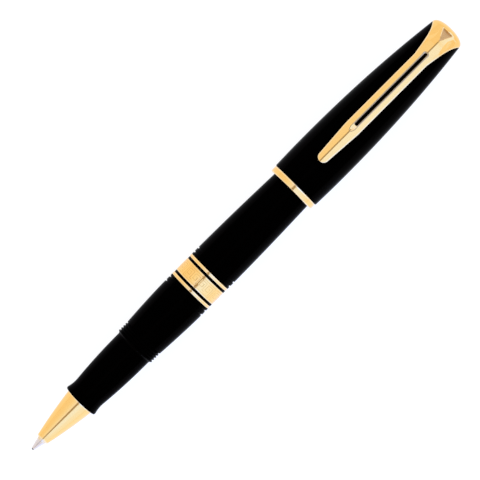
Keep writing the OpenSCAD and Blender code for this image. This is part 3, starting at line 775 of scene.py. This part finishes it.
def clip_mark(row, rows, s, side):
    """Material of one upper face, in one of the rows that count outwards from the ridge or slot."""
    # Before the slot the pointed cut has a painted highlight on its -Y side and a painted shadow line on
    # its edge; round the slot, painted shade; in the recess, a floor darkened with painted shade and a
    # painted highlight on its edge; and a painted highlight on the rim.
    if row == 0 and BOAT < s < SLOT_0:
        return PAINTED_HIGHLIGHT if side < 0 else PLAIN
    if row < 2 and s > POCKET:
        return RECESS_SHADE if row == 0 else PAINTED_HIGHLIGHT
    if row < 2 and BOAT < s < CUT_END:
        return SLOT_SHADE if s > SLOT_0 else SHADOW_LINE
    return PAINTED_HIGHLIGHT if row >= rows - RIM_ROWS else PLAIN


def clip_mesh():
    """The clip in two halves that meet on the ridge, each a skin with ends and the slot's wall."""
    stations = clip_stations()
    sections = [half_section(s) for s in stations]
    m = len(sections[0][0])
    points, faces, marks = [], [], []
    for side in (1, -1):
        base = len(points)
        for upper, lower in sections:
            points += [(s, side * y, z) for s, y, z in upper + lower]
        for i in range(len(stations) - 1):
            a, b = base + i * 2 * m, base + (i + 1) * 2 * m
            mid = (stations[i] + stations[i + 1]) / 2
            for k in range(m - 1):
                faces.append((a + k, b + k, b + k + 1, a + k + 1))
                faces.append((a + m + k, a + m + k + 1, b + m + k + 1, b + m + k))
                marks += [clip_mark(k, m - 1, mid, side), PLAIN]
            faces.append((a + m - 1, b + m - 1, b + 2 * m - 1, a + 2 * m - 1))
            marks.append(PLAIN)
            if max(slot_w(stations[i]), slot_w(stations[i + 1])) > 1e-6:
                faces.append((a, a + m, b + m, b))
                marks.append(SLOT_SHADE)
        for a in (base, base + (len(stations) - 1) * 2 * m):
            for k in range(m - 1):
                faces.append((a + k, a + k + 1, a + m + k + 1, a + m + k))
                marks.append(PLAIN)
    return points, faces, marks


points, faces, marks = clip_mesh()
clip = piece("clip_gilt", points, faces, CLIP_MATS, None, ["clip_arm", "clip_root"], marks, 14.0)
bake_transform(clip)

turned(
    "clip_ring", [(CROWN - 1, STUD_R), (CROWN - 1, 4.1, 0.1), (CROWN, 4.1, 0.1), (CROWN, STUD_R)],
    [GILT], "cap", [], 192)


def crown_ring(s):
    """Half outline of the crown at one station, from the top to the bottom, as (across, height)."""
    r = CROWN_R * max(0.0, 1 - ((s - CROWN) / (TOP - CROWN)) ** 2.5) ** 0.47
    slope = HEAD_SLOPE * (1 - float(ease((s - CROWN - 0.5) / 0.5)))

    def top(y):
        """Height of the crown's upper side, a roof that goes over into the dome."""
        return min(r - slope * y, math.sqrt(max(0.0, r * r - y * y)))

    y1 = min(pocket_w(min(s, POCKET_END)), 0.32 * r)
    y2 = y1 + min(0.22, 0.06 * r)
    rise = min(1.0, max(0.0, (s - POCKET_END + POCKET_RAMP) / POCKET_RAMP))
    half = [(y, pocket_z(s) + (top(y) - pocket_z(s)) * rise) for y in (0.0, y1)]
    for a in steps(math.atan2(y2, top(y2)), math.pi, 60):
        d = r if a > math.pi / 2 else min(r, r / (math.cos(a) + slope * math.sin(a)))
        half.append((d * math.sin(a), d * math.cos(a)))
    return half


def crown_mesh():
    """The crown, from the bottom of its screw's hole out and over the dome, with the recess's end."""
    stations = steps(CROWN, POCKET_END - POCKET_RAMP, 5)
    stations += steps(POCKET_END - POCKET_RAMP, POCKET_END, 3)[1:]
    first = math.asin((POCKET_END - CROWN) / (TOP - CROWN))
    stations += [CROWN + (TOP - CROWN) * math.sin(u) for u in steps(first, math.pi / 2, 30)][1:]
    outline = [(s, crown_ring(s)) for s in stations]
    count = len(outline[0][1])
    centre, hole = ([(r * math.sin(a), r * math.cos(a)) for a in steps(0, math.pi, count - 1)]
                    for r in (0.0, STUD_R))
    inner = [(TOP - 0.8, centre), (TOP - 0.8, hole), (CROWN, hole)]
    rings = inner + outline
    points, faces, marks = [], [], []
    n = 2 * count - 2
    for s, half in rings:
        points += [(s, y, z) for y, z in half] + [(s, -y, z) for y, z in half[-2:0:-1]]
    for i in range(len(rings) - 1):
        mid = (rings[i][0] + rings[i + 1][0]) / 2
        recessed = i >= len(inner) and mid < POCKET_END
        # The recess's floor is darkened with painted shade; its ramp and edges carry a painted
        # highlight.
        floor_mark = RECESS_SHADE if mid < POCKET_END - POCKET_RAMP else PAINTED_HIGHLIGHT
        for k in range(n):
            j = (k + 1) % n
            faces.append((i * n + k, i * n + j, (i + 1) * n + j, (i + 1) * n + k))
            if recessed and k in (0, n - 1):
                marks.append(floor_mark)
            else:
                marks.append(PAINTED_HIGHLIGHT if recessed and k in (1, n - 2) else PLAIN)
    return points, faces, marks


points, faces, marks = crown_mesh()
piece("crown_gilt", points, faces, CLIP_MATS, "cap", ["crown"], marks, 20.0)

# ---------------------------------------------------------------- parts carried over from the CAD

CARRIED = {
    "ball": CARBIDE, "refill_feed": FIBRE, "refill_collar": REFILL_PLASTIC,
    "refill_tube": REFILL_PLASTIC, "ink_reservoir": INK, "refill_plug": DARK_PLASTIC,
    "section_core": BRASS, "crown_screw": SPRING, "crown_washer": SPRING,
}
for node, mat in CARRIED.items():
    mesh = frame["nodes"][node].data
    mesh.materials.clear()
    mesh.materials.append(mat)

# ---------------------------------------------------------------- floor, light and camera


def glowing(name, colour=None, ramp=None):
    """A card's material, of one colour, or with a ramp of (place, colour) from z = -1 m to z = 1 m."""
    mat = bpy.data.materials.new(name)
    mat.use_nodes = True
    nodes, links = mat.node_tree.nodes, mat.node_tree.links
    nodes.remove(nodes["Principled BSDF"])
    glow = nodes.new("ShaderNodeEmission")
    glow.inputs["Strength"].default_value = 1.0
    if ramp is None:
        glow.inputs["Color"].default_value = (*colour, 1)
    else:
        place = nodes.new("ShaderNodeTexCoord")
        apart = nodes.new("ShaderNodeSeparateXYZ")
        span = nodes.new("ShaderNodeMapRange")
        span.inputs["From Min"].default_value = -1.0
        span.inputs["From Max"].default_value = 1.0
        shades = nodes.new("ShaderNodeValToRGB")
        while len(shades.color_ramp.elements) < len(ramp):
            shades.color_ramp.elements.new(0.5)
        for e, (where, shade) in zip(shades.color_ramp.elements, ramp):
            e.position = where
            e.color = (*shade, 1)
        links.new(place.outputs["Object"], apart.inputs["Vector"])
        links.new(apart.outputs["Z"], span.inputs["Value"])
        links.new(span.outputs["Result"], shades.inputs["Fac"])
        links.new(shades.outputs["Color"], glow.inputs["Color"])
    links.new(glow.outputs["Emission"], nodes["Material Output"].inputs["Surface"])
    return mat


def see_through(mat):
    """Makes a card clear, so that it adds its colour to what lies behind it."""
    nodes, links = mat.node_tree.nodes, mat.node_tree.links
    clear = nodes.new("ShaderNodeBsdfTransparent")
    both = nodes.new("ShaderNodeAddShader")
    links.new(clear.outputs["BSDF"], both.inputs[0])
    links.new(nodes["Emission"].outputs["Emission"], both.inputs[1])
    links.new(both.outputs["Shader"], nodes["Material Output"].inputs["Surface"])
    return mat


def card(name, points, faces, mat):
    """A card of the studio. It lights and reflects but isn't seen directly."""
    mesh = bpy.data.meshes.new(name)
    mesh.from_pydata(points, [], faces)
    mesh.materials.append(mat)
    obj = bpy.data.objects.new(name, mesh)
    bpy.context.scene.collection.objects.link(obj)
    obj.visible_camera = False
    obj.visible_shadow = False


floor_mat = bpy.data.materials.new("floor_white")
floor_mat.use_nodes = True
floor_shader = floor_mat.node_tree.nodes["Principled BSDF"]
floor_shader.inputs["Base Color"].default_value = (0.2, 0.2, 0.2, 1)
floor_shader.inputs["Roughness"].default_value = 0.9
floor_shader.inputs["Specular IOR Level"].default_value = 0.0
floor_shader.inputs["Emission Color"].default_value = (1, 1, 1, 1)
floor_shader.inputs["Emission Strength"].default_value = 0.88
floor_mesh = bpy.data.meshes.new("floor")
floor_mesh.from_pydata([(-6, -6, 0), (6, -6, 0), (6, 6, 0), (-6, 6, 0)], [], [(0, 1, 2, 3)])
floor_mesh.materials.append(floor_mat)
floor = bpy.data.objects.new("floor", floor_mesh)
floor.location = (0, 0, -0.00002)
bpy.context.scene.collection.objects.link(floor)

world = bpy.data.worlds.new("studio")
bpy.context.scene.world = world
world.use_nodes = True
world.node_tree.nodes["Background"].inputs["Color"].default_value = (1, 1, 1, 1)
world.node_tree.nodes["Background"].inputs["Strength"].default_value = 1.0

# The dark card overhead draws the brown line along the middle of the gilt. It is wider where the nose
# cone, which tapers, mirrors it.
DARK_Z = 0.99
card("dark_card",
     [(x, y, DARK_Z) for x, y in (
         (1.9, -0.12), (1.9, 0.055), (-0.05, 0.055), (-0.27, 0.1), (-0.9, 0.13), (-0.9, -0.25),
         (-0.27, -0.22), (-0.05, -0.12))],
     [tuple(range(8))], glowing("dark_card", (0.44, 0.42, 0.42)))

# Gilt is orange under white light. The tinted cards, half cylinders of 1 m round the pen, bring it to
# the pale tone that the photo shows on the -Y side and, on +Y, next to the middle line.
ZENITH = [(0.92, (0.98, 1.40, 2.85)), (0.976, (0.98, 1.40, 2.9)), (1.0, (0.97, 1.30, 2.5))]
PALE = [(0.5, (1.0, 1.18, 1.7)), (0.612, (1.0, 1.26, 2.0)), (0.703, (1.0, 1.30, 2.2)),
        (0.847, (1.0, 1.315, 2.38))] + ZENITH
FADE = [(0.5, (1.0, 1.0, 1.0)), (0.68, (1.0, 1.02, 1.05)), (0.79, (1.0, 1.20, 1.7)),
        (0.84, (1.0, 1.32, 2.35))] + ZENITH
WARM = [(0.5, (1.0, 1.0, 1.0)), (0.75, (1.0, 1.02, 1.07)), (0.87, (1.0, 1.05, 1.18)),
        (0.933, (1.0, 1.12, 1.35)), (0.97, (1.0, 1.15, 1.55)), (0.988, (1.0, 1.18, 1.8)),
        (1.0, (1.0, 1.20, 2.1))]
pale, warm, fade = (glowing("softbox_" + name, ramp=ramp)
                    for name, ramp in (("pale", PALE), ("warm", WARM), ("fade", FADE)))
# name, side of the pen, first and last angle from overhead in degrees, ends along X, material
for label, side, first, last, x0, x1, glow in (
        ("near", -1, 3, 89, -0.72, 0.4, pale), ("middle", -1, 3, 89, 0.4, 1.2, fade),
        ("far", -1, 14, 89, 1.2, 6.0, fade), ("opposite", 1, 3.2, 89, -0.72, 0.4, warm)):
    arc = [(x + (0.08 * math.sin(a) if x < 0 else 0), side * math.sin(a), math.cos(a))
           for a in steps(math.radians(first), math.radians(last), 40) for x in (x0, x1)]
    card("softbox_" + label, arc, [(2 * i, 2 * i + 1, 2 * i + 3, 2 * i + 2) for i in range(40)], glow)

LOW_Z = 0.00005              # just over the floor, whose white it tints on its way to the metal
card("low_card",
     [(x, y, LOW_Z) for x, y in ((-0.72, -0.004), (0.03, -0.004), (0.03, -1.0), (-0.72, -1.0))],
     [(0, 1, 2, 3)], see_through(glowing("low_card", (0.0, 0.14, 0.55))))

# The tinted cards light the metal alone. The resin sees the half cylinders black and the low card clear.
metal = bpy.data.collections.new("metal")
for obj in bpy.context.scene.objects:
    if obj.type == "MESH" and obj.data.materials and obj.data.materials[0] not in (RESIN, None):
        metal.objects.link(obj)
for obj in bpy.context.scene.objects:
    if obj.name.startswith(("softbox", "low_card")):
        obj.light_linking.receiver_collection = metal

# The camera looks down at the clip, square to the pen but for a slight lean towards the crown.
DISTANCE, ROLL = 0.574, math.radians(-45.09)
camera_data = bpy.data.cameras.new("camera")
camera = bpy.data.objects.new("camera", camera_data)
bpy.context.scene.collection.objects.link(camera)
bpy.context.scene.camera = camera
camera_data.sensor_width = 36
camera_data.lens = 170.4
camera_data.clip_start = 0.01
camera_data.clip_end = 50
eye = Vector((0.007, 0.00017, AXIS * 0.001 + DISTANCE))
target = Vector((-0.00033, 0.00017, AXIS * 0.001))
back = (eye - target).normalized()
right = Vector((math.cos(ROLL), math.sin(ROLL), 0))
right = (right - right.dot(back) * back).normalized()
up = back.cross(right)
turn = Matrix((right, up, back)).transposed()
camera.matrix_world = Matrix.Translation(eye) @ turn.to_4x4()

bpy.context.scene.view_settings.view_transform = "Standard"
bpy.context.scene.view_settings.look = "None"
